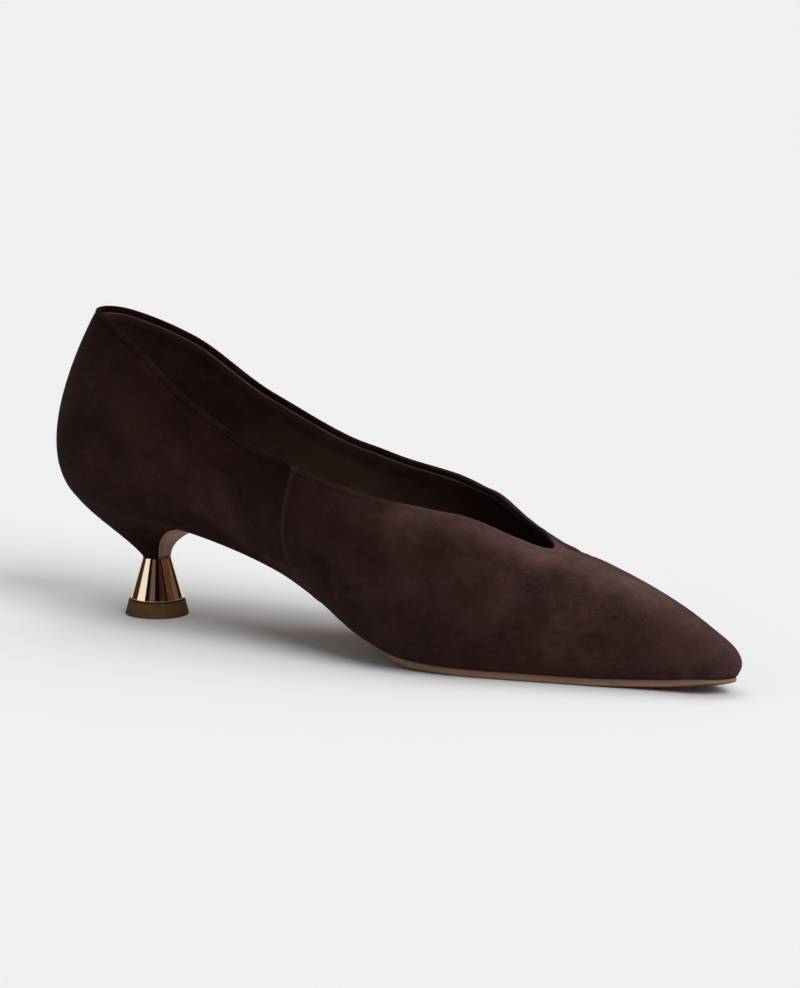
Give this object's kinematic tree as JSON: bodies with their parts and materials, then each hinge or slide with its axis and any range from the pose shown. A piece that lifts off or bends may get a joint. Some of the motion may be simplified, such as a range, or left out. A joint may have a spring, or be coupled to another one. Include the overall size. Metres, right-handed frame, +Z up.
{
  "type": "kitten heel pump",
  "caption": "Left pointed-toe suede pump with a deep V throat, a thin leather sole and a low heel: a covered block drawn in to a neck over a flared metal cone and a rubber tip.",
  "frame": {"origin": "middle of the heel tip's flat face on the floor", "axes": "+X along the shoe to the toe, +Y to the outer side of the foot, +Z up"},
  "size_m": [0.2502, 0.0729, 0.0953],
  "materials": {
    "suede": "matt dark brown suede with a short mottled nap",
    "lining_leather": "smooth dark brown lining leather",
    "sole_leather": "tan sole leather, lightly burnished at the edge",
    "gold_metal": "polished pale gold plate",
    "heel_rubber": "brown moulded top-piece rubber"
  },
  "bodies": {
    "root": {"upper": "suede", "insole": "lining_leather", "outsole": "sole_leather", "heel_block": "suede", "heel_cone": "gold_metal", "heel_tip": "heel_rubber"}
  },
  "joints": []
}
